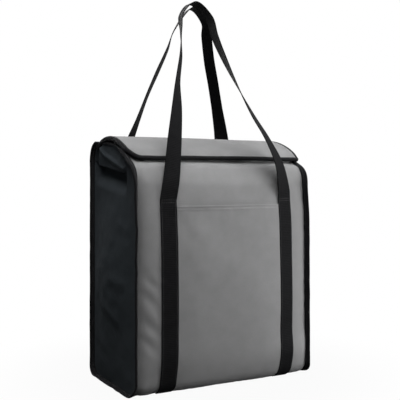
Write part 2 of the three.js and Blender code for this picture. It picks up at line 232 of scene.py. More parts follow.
def hump(distance, width):
    """1 at no distance, falling off smoothly on both sides."""
    return np.exp(-(distance / width) ** 2)


def ripple(points, size, turn):
    """Smooth unevenness between about -1 and 1, the same on every run."""
    shift = Vector((turn, 1.7 * turn, 2.3 * turn))
    flat = np.asarray(points).reshape(-1, 3) / size
    return np.array([noise.noise(Vector(p) + shift) for p in flat]).reshape(points.shape[:-1])


def laid_flat(x, s):
    """The cloth as it lies flat, for unevenness that goes with the cloth."""
    return np.stack([x, s, np.zeros_like(x)], -1)


def grid(along, across):
    return np.meshgrid(along, across, indexing="ij")


def swell(bulge, x, z):
    across = np.clip(1 - (x / half_width) ** 2, 0, 1) ** 0.75
    height = np.clip(z / (1.08 * shoulder_height), 0, 1)
    full = np.maximum(np.sin(np.pi * height ** 0.8), 0) ** 0.62
    return bulge * across * full * (1 - smooth(0.92, 1.0, height)) * smooth(0.0, 0.05, height)


def drawn_in(x, z):
    """The right side leans in a little towards the top."""
    inward = 0.001 * smooth(0.0, 0.25, z) + 0.0045 * smooth(0.28, 0.365, z)
    return x - inward * (np.maximum(x, 0) / half_width) ** 2


class Face:
    """A padded face as a net of points, with distances along its profile and across it."""

    def __init__(self, along, across, points, outward):
        self.along = along
        self.across = across
        self.points = points
        self.outward = outward
        self.refresh()

    def refresh(self):
        down = np.gradient(self.points, axis=0)
        over = np.gradient(self.points, axis=1)
        normal = unit(np.cross(down, over))
        self.normal = normal * np.sign((normal * self.outward).sum())

    def at(self, along, across, lift=0.0):
        """Places on the face, lifted off it."""
        along, across = np.broadcast_arrays(np.asarray(along, float), np.asarray(across, float))
        rows = np.interp(along, self.along, np.arange(len(self.along)))
        columns = np.interp(across, self.across, np.arange(len(self.across)))
        r = np.minimum(rows.astype(int), len(self.along) - 2)
        c = np.minimum(columns.astype(int), len(self.across) - 2)
        u = (rows - r)[..., None]
        v = (columns - c)[..., None]
        found = []
        for net in (self.points, self.normal):
            low = net[r, c] * (1 - v) + net[r, c + 1] * v
            high = net[r + 1, c] * (1 - v) + net[r + 1, c + 1] * v
            found.append(low * (1 - u) + high * u)
        lift = np.broadcast_to(np.asarray(lift, float), along.shape)
        return found[0] + unit(found[1]) * lift[..., None]


def wall_face(line, side, bulge, slump, dip, roll, turn):
    """The outer face of the front or back: the side profile, swollen between its seams.

    It sags by slump above its lower corners, dips under the lid's edge and rolls in at the left seam.
    """
    along, place, out = stations(line, side, 0.0045)
    across = np.linspace(-wall_edge, wall_edge, 79)
    x = np.broadcast_to(across, (len(along), len(across)))
    z = np.broadcast_to(place[:, 1:], x.shape)
    s = np.broadcast_to(along[:, None], x.shape)
    edge = wall_edge - np.abs(x)
    flat = laid_flat(x, s)
    lift = swell(bulge, x, z)
    lift += 0.0014 * smooth(0.0, 0.035, edge) * ripple(flat, 0.085, turn)
    lift += 0.0009 * np.exp(-edge / 0.010) * ripple(flat * (0.4, 1, 1), 0.014, turn + 3)
    lift += 0.0011 * hump(s, 0.035) * ripple(flat * (1, 0.2, 1), 0.011, turn + 6)
    slant = np.sin(2 * np.pi * (1.1 * x + z) / 0.036 + 2.5 * ripple(flat, 0.05, turn + 8))
    slanted = hump(x + 0.153, 0.013) * smooth(0.05, 0.09, z) * (1 - smooth(0.19, 0.24, z))
    lift += 0.0009 * slant * slanted
    lift -= 0.0016 * hump(edge, 0.0045)
    lift -= roll * hump(edge, 0.009) * (x < 0)
    lift -= 0.0009 * hump(np.abs(x) - strap_line, 0.017) * (1 - smooth(0.307, 0.347, z))
    lift -= dip * hump(s - along[-1] + 0.046, 0.009)
    lift += slump * hump(z - 0.05, 0.03) * hump(x - 0.125, 0.055)
    lift += 0.5 * slump * hump(z - 0.06, 0.03) * hump(x + 0.125, 0.055)
    y = place[:, :1] + out[:, :1] * lift
    points = np.stack([drawn_in(x, z), y, place[:, 1:] + out[:, 1:] * lift], -1)
    points[..., 2] = np.maximum(points[..., 2], 0.0003)
    return Face(along, across, points, np.insert(out, 0, 0.0, axis=1)[:, None])


def net_quads(rows, columns):
    index = np.arange(rows * columns).reshape(rows, columns)
    quads = np.stack([index[:-1, :-1], index[1:, :-1], index[1:, 1:], index[:-1, 1:]], -1)
    return index, quads.reshape(-1, 4)


def settle(face, loose_end, fixed_start):
    """Lets the cloth between the sewn lines fill out, by a cloth simulation with the seams held.

    The top is loose up to loose_end along the profile, and held from fixed_start on.
    """
    push = 0.6
    reach = 0.004
    frames = 16
    seams = hump(wall_edge - np.abs(face.across), 0.006)
    straps = 0.5 * hump(np.abs(face.across) - strap_line, 0.012)
    top = smooth(loose_end, fixed_start, face.along)
    ends = np.maximum(hump(face.along, 0.02), top)
    held = np.maximum(np.maximum(seams, straps)[None, :], ends[:, None])
    rows, columns = face.points.shape[:2]
    mesh = bpy.data.meshes.new("settling")
    mesh.from_pydata(face.points.reshape(-1, 3).tolist(), [], net_quads(rows, columns)[1].tolist())
    if (mesh.polygons[0].normal @ Vector(face.normal[0, 0])) < 0:
        mesh.flip_normals()
    made = bpy.data.objects.new("settling", mesh)
    scene.collection.objects.link(made)
    sewn = made.vertex_groups.new(name="sewn")
    for number, weight in enumerate(held.ravel().tolist()):
        if weight > 0.01:
            sewn.add([number], weight, "REPLACE")
    cloth = made.modifiers.new("cloth", "CLOTH")
    stuff = {
        "quality": 5, "mass": 0.2, "tension_stiffness": 25, "compression_stiffness": 25,
        "bending_stiffness": 4, "vertex_group_mass": "sewn",
        "use_pressure": True, "uniform_pressure_force": push,
    }
    for key, value in stuff.items():
        setattr(cloth.settings, key, value)
    cloth.settings.effector_weights.gravity = 0.05
    cloth.collision_settings.use_collision = False
    cloth.point_cache.frame_start = 1
    cloth.point_cache.frame_end = frames
    for number in range(1, frames + 1):
        scene.frame_set(number)
    shaped = made.evaluated_get(bpy.context.evaluated_depsgraph_get()).to_mesh()
    found = np.zeros(rows * columns * 3, np.float32)
    shaped.vertices.foreach_get("co", found)
    shift = found.reshape(rows, columns, 3).astype(float) - face.points
    length = np.maximum(np.linalg.norm(shift, axis=-1, keepdims=True), 1e-9)
    face.points += shift / length * reach * np.tanh(length / reach)
    face.refresh()
    bpy.data.objects.remove(made)
    bpy.data.meshes.remove(mesh)
    scene.frame_set(1)


def shaded(mesh, sharp=50):
    tidy = bmesh.new()
    tidy.from_mesh(mesh)
    bmesh.ops.recalc_face_normals(tidy, faces=tidy.faces)
    tidy.to_mesh(mesh)
    tidy.free()
    mesh.shade_smooth()
    mesh.set_sharp_from_angle(angle=math.radians(sharp))
    return mesh


def closed_sheet(outer, inner, across, along):
    """Cloth with a thickness, between two nets of points; its UVs are metres of cloth."""
    index, quads = net_quads(*outer.shape[:2])
    count = index.size
    rim = np.concatenate([index[:-1, 0], index[-1, :-1], index[:0:-1, -1], index[0, :0:-1]])
    after = np.roll(rim, -1)
    sides = np.stack([after, rim, rim + count, after + count], 1)
    faces = np.concatenate([quads, quads[:, ::-1] + count, sides])
    places = np.concatenate([outer.reshape(-1, 3), inner.reshape(-1, 3)])
    mesh = bpy.data.meshes.new("cloth_sheet")
    mesh.from_pydata(places.tolist(), [], faces.tolist())
    uv = np.stack(np.broadcast_arrays(across, along), -1).reshape(-1, 2)
    layer = mesh.uv_layers.new(name="cloth")
    layer.data.foreach_set("uv", np.concatenate([uv, uv])[faces.ravel()].ravel())
    return shaded(mesh)


def sheet_on(face, s, x, top, low):
    """A closed sheet between two lifts off a face."""
    return closed_sheet(face.at(s, x, top), face.at(s, x, low), x, s)


def add_piece(name, mesh, finish, body=None):
    mesh.name = name
    made = bpy.data.objects.new(name, mesh)
    scene.collection.objects.link(made)
    mesh.materials.append(finish)
    if body:
        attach(made, body)
    return made


def cloth_place(tree):
    return node(tree, "UVMap", uv_map="cloth").outputs[0]


def grain(tree, place, scale, detail):
    return node(tree, "TexNoise", {"Vector": place, "Scale": scale, "Detail": detail}).outputs[0]


def stripes(tree, value, pitch):
    return reckon(tree, "SINE", reckon(tree, "MULTIPLY", value, math.pi / pitch))


def weighted(tree, *parts):
    """Adds up values, each times its weight."""
    total = reckon(tree, "MULTIPLY", *parts[0])
    for value, weight in parts[1:]:
        total = reckon(tree, "ADD", total, reckon(tree, "MULTIPLY", value, weight))
    return total


def dress(tree, tone, colours, wear, rough, relief, strength, deep):
    """Gives a finish two mixed colours, an uneven roughness and a relief, and returns its inputs."""
    shader = tree.nodes["Principled BSDF"]
    colour = node(tree, "Mix", {0: tone, 6: colours[0], 7: colours[1]}, data_type="RGBA")
    gloss = node(tree, "MapRange", {"Value": wear, "To Min": rough[0], "To Max": rough[1]})
    bump = node(tree, "Bump", {"Strength": strength, "Distance": deep, "Height": relief})
    tree.links.new(colour.outputs[2], shader.inputs["Base Color"])
    tree.links.new(gloss.outputs[0], shader.inputs["Roughness"])
    tree.links.new(bump.outputs[0], shader.inputs["Normal"])
    return shader.inputs


def give_sheen(inputs, specular, sheen):
    inputs["Specular IOR Level"].default_value = specular
    inputs["Sheen Weight"].default_value = sheen
    inputs["Sheen Roughness"].default_value = 0.4


def woven(name, dark, light, rough, specular, sheen):
    """Plain weave in metres of cloth: yarns over and under, slubs, and a faint mottle."""
    yarn_pitch = 0.0007
    finish, tree = new_finish(name)
    place = cloth_place(tree)
    parts = node(tree, "SeparateXYZ", {0: place}).outputs
    over = reckon(tree, "MULTIPLY", stripes(tree, parts[0], yarn_pitch), stripes(tree, parts[1], yarn_pitch))
    slub = grain(tree, place, 420.0, 3.0)
    tone = weighted(tree, (over, 0.14), (slub, 0.35), (grain(tree, place, 38.0, 5.0), 0.65))
    relief = weighted(tree, (reckon(tree, "ABSOLUTE", over), 1.0), (slub, 0.9))
    roughness = (rough - 0.08, rough + 0.08)
    give_sheen(dress(tree, tone, (dark, light), slub, roughness, relief, 0.55, 0.0002), specular, sheen)
    return finish


grey_cloth = woven(
    "grey_woven_polyester", (0.212, 0.212, 0.214, 1), (0.292, 0.292, 0.294, 1), 0.82, 0.03, 0.05
)
mouth_gap = 0.0086
lid_corners = ((0.072, 0.437), (0.02966, 0.454), (-0.03458, 0.439), (-0.074, 0.411))
lid_line = bezier(lid_corners, np.linspace(0, 1, 101))
lid_slope = unit(np.gradient(lid_line, axis=0))
lid_normal = np.stack([lid_slope[:, 1], -lid_slope[:, 0]], 1)
mouth_line = (lid_line - mouth_gap * lid_normal)[:71:-1]
mouth_start = mouth_line[0]
shoulder_run = 0.4 * (mouth_start[1] - shoulder_height)
shoulder_line = bezier((
    (-half_depth, shoulder_height),
    (-half_depth, shoulder_height + 1.7 * shoulder_run),
    mouth_start + shoulder_run * lid_slope[-1],
    mouth_start,
), np.linspace(0, 1, 41))
front_line = np.concatenate([lower_line(-1, shoulder_height), shoulder_line[1:], mouth_line[1:]])
front_face = wall_face(front_line, -1, front_bulge, 0.006, 0.003, 0.003, 1.0)
settle(front_face, 0.372, 0.427)


def padded_wall(face):
    """The wall's fabric and foam as one closed pad that thins out into its seams."""
    s, x = grid(face.along, face.across)
    seam = np.minimum(wall_edge - np.abs(x), s)
    thick = padding - 0.0040 * hump(seam, 0.0045)
    return closed_sheet(face.points, face.at(s, x, -thick), x, s)


front_wall = add_piece("front_wall", padded_wall(front_face), grey_cloth, "bag")
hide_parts("front_panel", "front_foam")

# Back wall: the same cloth and foam as the front, flatter, with a higher shoulder. Its top edge is the
# hinge of the lid, where the cloth runs on.
back_bulge = 0.009
back_shoulder_height = 0.403
back_run = 0.45 * (lid_line[0, 1] - back_shoulder_height)
back_shoulder = bezier((
    (half_depth, back_shoulder_height),
    (half_depth, back_shoulder_height + 1.3 * back_run),
    lid_line[0] - back_run * lid_slope[0],
    lid_line[0],
), np.linspace(0, 1, 41))
back_line = np.concatenate([lower_line(1, back_shoulder_height), back_shoulder[1:]])
back_face = wall_face(back_line, 1, back_bulge, 0.002, 0.0, 0.0, 7.0)
settle(back_face, 0.407, 0.437)
back_wall = add_piece("back_wall", padded_wall(back_face), grey_cloth, "bag")
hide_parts("back_panel", "back_foam")

# Gussets: blue black woven polyester over foam, one on each side, sewn to the edges of the front and
# back. Where the walls lean together at the top the spare cloth folds in under the lid, over a deep
# crease that slopes down to the front.
black_cloth = woven(
    "black_woven_polyester", (0.036, 0.042, 0.047, 1), (0.054, 0.0625, 0.070, 1), 0.78, 0.006, 0.01
)
gusset_bulge = 0.016
tuck_depth = 0.004
front_along, front_place, front_out = stations(front_line, -1, 0.0025)
back_along, back_place, back_out = stations(back_line, 1, 0.0025)
front_end = front_along[-1]
back_end = back_along[-1]
shoulder_start = base_radius * math.pi / 2 + shoulder_height - base_radius
pair_lead = 0.022
back_rise = 0.011
pair_front = [0, shoulder_start - pair_lead, shoulder_start]
pair_back = [0, shoulder_start - pair_lead, shoulder_start + back_rise]
for front_share, back_share in ((0.2, 0.42), (0.4, 0.56), (0.58, 0.67), (0.69, 0.77), (0.85, 0.87), (1, 1)):
    pair_front.append(shoulder_start + front_share * (front_end - shoulder_start))
    pair_back.append(shoulder_start + back_rise + back_share * (back_end - shoulder_start - back_rise))
gusset_along = np.linspace(0, front_end, 341)
gusset_columns = 71
gusset_front_seam = on_line(gusset_along, front_along, front_place - seam_inset * front_out)
gusset_back_along = np.interp(gusset_along, pair_front, pair_back)
gusset_back_seam = on_line(gusset_back_along, back_along, back_place - seam_inset * back_out)


def eased(value, places, heights):
    """Runs smoothly from one height to the next, level at each place."""
    found = np.full_like(value, heights[0])
    for a, b, start, end in zip(places, places[1:], heights, heights[1:]):
        found += (end - start) * smooth(a, b, value)
    return found


def crease_mark(y, z, start, end):
    """A soft ridge along a line, with a dent under it, fading out at both ends."""
    run = np.linalg.norm(end - start)
    ahead = (end - start) / run
    along = ((y - start[0]) * ahead[0] + (z - start[1]) * ahead[1]) / run
    above = (z - start[1]) * abs(ahead[0]) - (y - start[0]) * ahead[1] * np.sign(ahead[0])
    fading = smooth(-0.15, 0.3, along) * (1 - smooth(0.7, 1.15, along))
    return fading * (hump(above - 0.004, 0.011) - 0.6 * hump(above + 0.015, 0.010))


creases = (
    ((0.046, 0.146), (-0.042, 0.114), 0.0020), ((-0.002, 0.192), (-0.070, 0.184), 0.0013),
    ((0.085, 0.075), (0.020, 0.060), 0.0010), ((-0.030, 0.290), (-0.080, 0.275), 0.0006),
)


def gusset_face(side, crease_start, turn):
    """The outer face of one gusset, with its folds, and the plain face that its lining follows."""
    even = np.linspace(0, 1, gusset_columns)
    share = 0.6 * (0.5 - 0.5 * np.cos(np.pi * even)) + 0.4 * even
    from_back = share[None, :, None]
    yz = gusset_front_seam[:, None] * (1 - from_back) + gusset_back_seam[:, None] * from_back
    y, z = yz[..., 0], yz[..., 1]
    across = 4 * share * (1 - share)
    filled = smooth(0.03, 0.195, z) * (1 - smooth(0.205, 0.383, z))
    filled += 0.2 * smooth(0.0, 0.04, z) * (1 - smooth(0.05, 0.15, z))
    crease = np.interp(0.379, front_place[:, 1], front_along)
    tuck = smooth(-0.3, 1.0, (gusset_along - crease) / (front_end - crease))[:, None]
    tuck = np.where(gusset_along[:, None] > crease - 0.03, tuck, 0)
    plain = gusset_bulge * across * filled - tuck_depth * across * tuck
    edge = smooth(0.0, 0.09, share) * smooth(0.0, 0.065, 1 - share) * smooth(0.0, 0.015, z)
    low = z - (0.389 + 0.13 * y)
    high = z - (0.4055 + 0.235 * y + 5 * np.maximum(0, y - 0.035) ** 2)
    behind = smooth(*crease_start, y)
    from_seam = y[:, -1:] - y
    fold = eased(low, (-0.046, -0.004, 0.0075, 0.020, 0.048), (0, -0.0180, 0.0000, 0.0025, 0.0050))
    fold = behind * (fold + 0.0030 * hump(high, 0.0028) - 0.002 * hump(high - 0.014, 0.009))
    fold -= 0.006 * hump(from_seam - 0.009, 0.008) * smooth(0.388, 0.402, z)
    for start, end, deep in creases:
        fold += deep * crease_mark(y, z, np.array(start), np.array(end))
    drop = behind * edge * eased(low, (-0.002, 0.006, 0.030), (0, -0.010, 0))
    drop += 0.005 * across * smooth(front_end - 0.022, front_end, gusset_along)[:, None]
    flat = np.stack([y, z, np.full_like(y, side)], -1)
    fold = edge * (fold + 0.0016 * ripple(flat, 0.06, turn) + 0.0006 * ripple(flat, 0.022, turn + 5))
    seam_x = drawn_in(side * half_width, z)
    points = np.stack([seam_x + side * (plain + fold), y, z + drop], -1)
    folded = Face(gusset_along, share, points, np.array([side, 0.0, 0.0]))
    inner = seam_x + side * (plain + np.minimum(fold, 0) - padding)
    return folded, np.stack([inner, y, z], -1), y


gussets = {}
for hand, side, crease_start, turn in (
    ("left", -1, (-0.058, -0.047), 21.0), ("right", 1, (-0.080, -0.020), 33.0),
):
    face, inner, y = gusset_face(side, crease_start, turn)
    edge = np.minimum(y - y[:, :1], y[:, -1:] - y)
    thin = hump(np.maximum(edge, 0), 0.005)
    thin = np.maximum(thin, hump(face.along[:, None], 0.012))
    inner = inner * (1 - 0.8 * thin[..., None]) + face.points * 0.8 * thin[..., None]
    inner[..., 0] = side * np.minimum(side * inner[..., 0], side * face.points[..., 0] - 0.001)
    wall = add_piece(
        hand + "_gusset_wall", closed_sheet(face.points, inner, y, face.along[:, None]),
        black_cloth, "bag",
    )
    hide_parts(hand + "_gusset", hand + "_foam")
    gussets[hand] = (face, inner, y)

# Bound seams: the edges of wall and gusset are caught together in a folded black tape and stand out
# round each gusset as a stiff fin. It lies flat beside the base, and under the lid along the mouth.
fin_half = np.array([
    (-1.6, 1.3), (0, 1.2), (1.3, 1.4), (4, 1.7), (7, 2), (8.3, 1.8), (9.1, 1.1), (9.4, 0),
]) / 1000
fin_section = np.concatenate([fin_half, fin_half[-2::-1] * (1, -1)])


def ribbed(name, dark, light, rib, deep, rough, specular, sheen):
    """Narrow woven tape: fine ribs across it with painted shade in their hollows, paler where it is rubbed.
    """
    finish, tree = new_finish(name)
    place = cloth_place(tree)
    parts = node(tree, "SeparateXYZ", {0: place}).outputs
    ribs = reckon(tree, "ABSOLUTE", stripes(tree, parts[1], rib))
    yarn = reckon(tree, "ABSOLUTE", stripes(tree, parts[0], 1.4 * rib))
    rub = grain(tree, place, 90.0, 4.0)
    # The rib hollows are painted darker than the rib tops, in the same pattern as the relief: painted shade.
    # The rubbed wear is mixed in on top.
    tone = weighted(tree, (ribs, 0.45), (rub, 0.55))
    relief = weighted(tree, (ribs, 1.0), (yarn, 0.4))
    roughness = (rough - 0.1, rough + 0.1)
    give_sheen(dress(tree, tone, (dark, light), rub, roughness, relief, 0.6, deep), specular, sheen)
    return finish


def ring_mesh(rings, section, along):
    """A closed body through rings of points; its UVs are metres round the section and along."""
    around = run_of(np.concatenate([section, section[:1]]))
    count, size = rings.shape[:2]
    index = np.arange(count * size).reshape(count, size)
    low, high = index[:-1], index[1:]
    quads = np.stack([low, np.roll(low, -1, 1), np.roll(high, -1, 1), high], -1).reshape(-1, 4)
    faces = quads.tolist() + [index[0][::-1].tolist(), index[-1].tolist()]
    mesh = bpy.data.meshes.new("ringed_body")
    mesh.from_pydata(rings.reshape(-1, 3).tolist(), [], faces)
    u0, v0 = np.meshgrid(around[:-1], along[:-1])
    u1, v1 = np.meshgrid(around[1:], along[1:])
    uv = np.stack([u0, v0, u1, v0, u1, v1, u0, v1], -1).reshape(-1)
    ends = np.concatenate([
        np.stack([around[:-1][::-1], np.full(size, along[0])], 1).ravel(),
        np.stack([around[:-1], np.full(size, along[-1])], 1).ravel(),
    ])
    mesh.uv_layers.new(name="cloth").data.foreach_set("uv", np.concatenate([uv, ends]))
    return shaded(mesh)


def thread_rows(name, rows, finish, body, pitch=0.0034, length=0.0027, thick=0.00034):
    """Rows of separate stitches, each a small grain of thread laid along its path."""
    ring = np.array([(1, 0), (0, 1), (-1, 0), (0, -0.5)])
    places, faces = [], []
    for path, normal in rows:
        run = run_of(path)
        middles = np.arange(pitch / 2, run[-1], pitch)
        centre = on_line(middles, run, path)
        up = unit(on_line(middles, run, normal))
        ahead = unit(on_line(middles, run, np.gradient(path, run, axis=0)))
        side = unit(np.cross(up, ahead))
        for c, n, t, w in zip(centre, up, ahead, side):
            first = len(places)
            places.append(c - 0.5 * length * t - 0.4 * thick * n)
            for end in (-0.28, 0.28):
                places.extend(c + end * length * t + thick * (a * w + b * n) for a, b in ring)
            places.append(c + 0.5 * length * t - 0.4 * thick * n)
            for k in range(4):
                p, q = first + 1 + k, first + 1 + (k + 1) % 4
                faces.extend([(first, q, p), (p, q, q + 4, p + 4), (first + 9, p + 4, q + 4)])
    mesh = bpy.data.meshes.new("stitches")
    mesh.from_pydata([tuple(p) for p in places], [], faces)
    return add_piece(name, shaded(mesh, 80), finish, body)


def thread(name, dark, light):
    """Twisted polyester sewing thread."""
    finish, tree = new_finish(name)
    twist = grain(tree, object_place(tree), 1800.0, 2.0)
    dress(tree, twist, (dark, light), twist, (0.45, 0.65), twist, 0.4, 0.0001)
    return finish


black_tape = ribbed(
    "black_binding_tape", (0.0045, 0.0045, 0.005, 1), (0.017, 0.017, 0.0185, 1),
    0.0009, 0.0003, 0.6, 0.012, 0.03,
)
black_thread = thread("black_thread", (0.004, 0.004, 0.0045, 1), (0.013, 0.013, 0.014, 1))
grey_thread = thread("grey_thread", (0.15, 0.15, 0.152, 1), (0.22, 0.22, 0.222, 1))


def seam_path():
    """Round one gusset from the mouth down the front, under the base and up the back."""
    front_run = np.arange(len(front_along))[::-1]
    y = np.linspace(front_place[0, 0], back_place[0, 0], 45)[1:-1]
    base = np.stack([y, np.zeros_like(y)], 1)
    back_run = np.arange(len(back_along))
    place = np.concatenate([front_place[front_run], base, back_place[back_run]])
    down = np.tile([0.0, -1.0], (len(base), 1))
    out = np.concatenate([front_out[front_run], down, back_out[back_run]])
    under_lid = np.concatenate([
        smooth(front_end - 0.105, front_end - 0.036, front_along[front_run]),
        np.zeros(len(base) + len(back_run)),
    ])
    at_hinge = np.concatenate([
        np.zeros(len(front_run) + len(base)), smooth(back_end - 0.03, back_end, back_along[back_run]),
    ])
    return place, out, under_lid, at_hinge


place, out, under_lid, at_hinge = seam_path()
along = run_of(place)
flat = np.maximum(0, -out[:, 1])
walk = laid_flat(along, np.zeros_like(along))
for hand, side, front_stand, back_stand, turn in (("left", -1, 62, 42, 41.0), ("right", 1, 58, 45, 53.0)):
    lean = 0.20 * ripple(walk, 0.05, turn) + 0.10 * ripple(walk, 0.018, turn + 2)
    stand = np.radians(np.where(place[:, 0] < 0, front_stand, back_stand))
    angle = stand * (1 - flat) * (1 - 1.2 * under_lid) * (1 - 0.2 * at_hinge) + lean * (1 - 0.8 * flat)
    width = 1.08 + 0.05 * ripple(walk, 0.04, turn + 4) + 0.2 * flat * ripple(walk, 0.024, turn + 8)
    width -= 0.30 * under_lid + 0.10 * at_hinge + 0.50 * smooth(along[-1] - 0.006, along[-1], along)
    root_x = half_width - 0.0005 + 0.0008 * flat
    root_lift = -0.0005 - 0.0015 * flat - 0.0012 * under_lid - 0.0012 * at_hinge
    reach = fin_section[None, :, 0] * width[:, None]
    thick = fin_section[None, :, 1]
    over = reach * np.cos(angle)[:, None] - thick * np.sin(angle)[:, None]
    lift = root_lift[:, None] + reach * np.sin(angle)[:, None] + thick * np.cos(angle)[:, None]
    rings = np.stack([
        drawn_in(side * root_x, place[:, 1])[:, None] + side * over,
        place[:, :1] + out[:, :1] * lift,
        place[:, 1:] + out[:, 1:] * lift,
    ], -1)
    rings[..., 2] = np.maximum(rings[..., 2], 0.0002)
    fin = add_piece(
        hand + "_bound_seam", ring_mesh(rings, fin_section, along), black_tape, "bag"
    )
    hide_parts(hand + "_seam_tape")
    rows = []
    last = len(fin_section) - 1
    for low, high in ((2, 3), (last - 2, last - 3)):
        line = 0.45 * rings[:, low] + 0.55 * rings[:, high]
        rows.append((line, unit(rings[:, low] - rings[:, last - low])))
    thread_rows(hand + "_seam_stitches", rows, black_thread, "bag", 0.0036, 0.0028, 0.0003)

# Front pocket: one layer of the grey cloth sewn flat on the front wall along both straps, with a narrow
# rolled hem along its open top. Two rows of stitching above it hold the pocket's back.
pocket_half = 0.1047
pocket_low = base_radius * math.radians(30)
straight_start = base_radius * math.pi / 2
pocket_height = 0.323
pocket_top = straight_start + pocket_height - base_radius
pocket_along = np.concatenate([
    np.linspace(pocket_low, pocket_top - 0.012, 70), np.linspace(pocket_top - 0.0113, pocket_top, 18),
])
pocket_across = np.linspace(-pocket_half, pocket_half, 57)
s, x = grid(pocket_along, pocket_across)
below = pocket_top - s
edge = pocket_half - np.abs(x)
flat = laid_flat(x, s)
loose = smooth(0.0, 0.04, edge) * smooth(0.0, 0.06, s - pocket_low)
slack = 0.0010 * loose * (1 + ripple(flat, 0.07, 61.0))
puckers = smooth(0.004, 0.008, below) * (1 + ripple(flat * (1, 0.3, 1), 0.010, 64.0))
slack += 0.0009 * np.exp(-below / 0.016) * puckers
hem = (0.0003 - 0.0001 * smooth(-0.05, 0.07, x)) * hump(below - 0.0019, 0.0020)
standing = 0.0014 * (1 - smooth(0.001, 0.011, below)) * (1 - 0.75 * smooth(-0.09, 0.07, x))
lift = 0.0012 + slack + hem + standing
lift -= 0.0002 * hump(below, 0.0005)
thick = 0.0008 + np.maximum(hem, 0) * 0.8
pocket = add_piece(
    "pocket", sheet_on(front_face, s, x, lift, lift - thick), grey_cloth, "bag"
)
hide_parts("front_pocket")


def row_on(face, along, across, lift, sign=1):
    """A row of stitches on a face: its path, and the direction in which it stands up."""
    path = face.at(along, across, lift)
    return path, unit(face.at(along, across, lift + sign * 0.01) - path)


row_x = np.linspace(-pocket_half + 0.002, pocket_half - 0.002, 90)
pocket_rows = []
for height, lift in ((0.3273, 0.00008), (0.3307, 0.00008), (0.3183, 0.00115)):
    along = np.full_like(row_x, straight_start + height - base_radius)
    pocket_rows.append(row_on(front_face, along, row_x, lift))
thread_rows("pocket_stitches", pocket_rows, grey_thread, "bag", thick=0.0002)

# Webbing: each handle is one length of black woven webbing. It is sewn up the wall from the bottom edge,
# leaves the wall at the shoulder, twists a quarter turn on its way up, and comes down again on the
# other side. Front and back meet over the lid.
strap_middle = 0.12005
strap_half = 0.015
strap_thick = 0.0016
strap_gap = 0.0003
stitch_line = 0.0122
strap_end = 0.337
sewn_top = straight_start + strap_end - 0.004 - base_radius
handle_height = 0.360
# Each point of a route: across as a share of strap_middle, how far it leans in, height as a share of
# handle_height, and the turn of the webbing in degrees.
front_route = (
    (-1, 0, 0, -8), (-0.966, 0.0, 0.062, -7), (-0.917, 0.05, 0.137, -2), (-0.838, 0.142, 0.281, 11),
    (-0.747, 0.261, 0.428, 28), (-0.654, 0.418, 0.575, 50), (-0.529, 0.578, 0.719, 57),
    (-0.469, 0.706, 0.842, 68), (-0.423, 0.786, 0.93, 80), (-0.207, 0.83, 0.997, 90),
    (0.05, 0.769, 0.925, 86), (0.119, 0.694, 0.825, 83), (0.221, 0.548, 0.7, 74), (0.368, 0.335, 0.542, 56),
    (0.518, 0.145, 0.403, 43), (0.693, 0.04, 0.295, 38), (0.874, -0.035, 0.16, 26), (1, 0, 0, 8),
)
back_route = (
    (-1, 0, 0, 0), (-0.958, -0.055, 0.15, 18), (-0.831, -0.045, 0.28, 37), (-0.699, 0.025, 0.408, 52),
    (-0.576, 0.13, 0.54, 58), (-0.463, 0.315, 0.667, 56), (-0.367, 0.5, 0.78, 60),
    (-0.31, 0.666, 0.88, 71), (-0.064, 0.832, 0.997, 84), (0.236, 0.743, 0.933, 95),
    (0.297, 0.637, 0.867, 100), (0.431, 0.461, 0.747, 101), (0.613, 0.25, 0.625, 103),
    (0.761, 0.1, 0.497, 107), (0.89, -0.01, 0.361, 125), (0.972, -0.05, 0.19, 165), (1, 0, 0, 180),
)
webbing_finish = ribbed(
    "black_webbing", (0.003, 0.003, 0.0034, 1), (0.017, 0.017, 0.018, 1), 0.0030, 0.00016, 0.65, 0.012, 0.0
)
web_across = np.array([-15, -14.75, -14.2, -13.2, -9, -4.5, 0, 4.5, 9, 13.2, 14.2, 14.75, 15]) / 1000
web_lift = np.array([0, 0.52, 0.88, 0.74, 0.8, 0.8, 0.8, 0.8, 0.8, 0.74, 0.88, 0.52, 0]) / 1000
web_half = np.stack([web_across, web_lift], 1)
web_section = np.concatenate([web_half, web_half[-2:0:-1] * (1, -1)])


def curve_through(points, share):
    """A smooth curve through points, spaced by the root of their distances."""
    points = np.array(points, float)
    points = np.concatenate([[2 * points[0] - points[1]], points, [2 * points[-1] - points[-2]]])
    whole = np.minimum((share * (len(points) - 3)).astype(int), len(points) - 4)
    t = (share * (len(points) - 3) - whole)[:, None]
    p0, p1, p2, p3 = (points[whole + k] for k in range(4))
    gaps = (p1 - p0, p2 - p1, p3 - p2)
    d0, d1, d2 = (np.linalg.norm(gap, axis=1, keepdims=True) ** 0.5 for gap in gaps)
    start = ((p1 - p0) / d0 - (p2 - p0) / (d0 + d1) + (p2 - p1) / d1) * d1
    finish = ((p2 - p1) / d1 - (p3 - p1) / (d1 + d2) + (p3 - p2) / d2) * d1
    square = 3 * (p2 - p1) - 2 * start - finish
    cube = 2 * (p1 - p2) + start + finish
    return p1 + start * t + square * t ** 2 + cube * t ** 3


def square_to(directions, axis):
    """Directions without the part of them that lies along an axis."""
    return unit(directions - (directions * axis).sum(1, keepdims=True) * axis)


def sewn_strap(face, x):
    """Middle, width and outward directions of the webbing sewn to a wall, from the bottom up."""
    along = np.linspace(pocket_low, sewn_top, 76)
    middle = face.at(along, x)
    width = unit(face.at(along, x + strap_half) - face.at(along, x - strap_half))
    out = square_to(unit(face.at(along, x, 0.01) - middle), width)
    proud = np.max([
        ((face.at(along, x + k * strap_half) + k * -strap_half * width - middle) * out).sum(1)
        for k in (-1, -0.7, -0.35, 0, 0.35, 0.7, 1)
    ], axis=0)
    lift = np.maximum(proud, 0) + strap_gap + strap_thick / 2
    return middle + out * lift[:, None], width, out


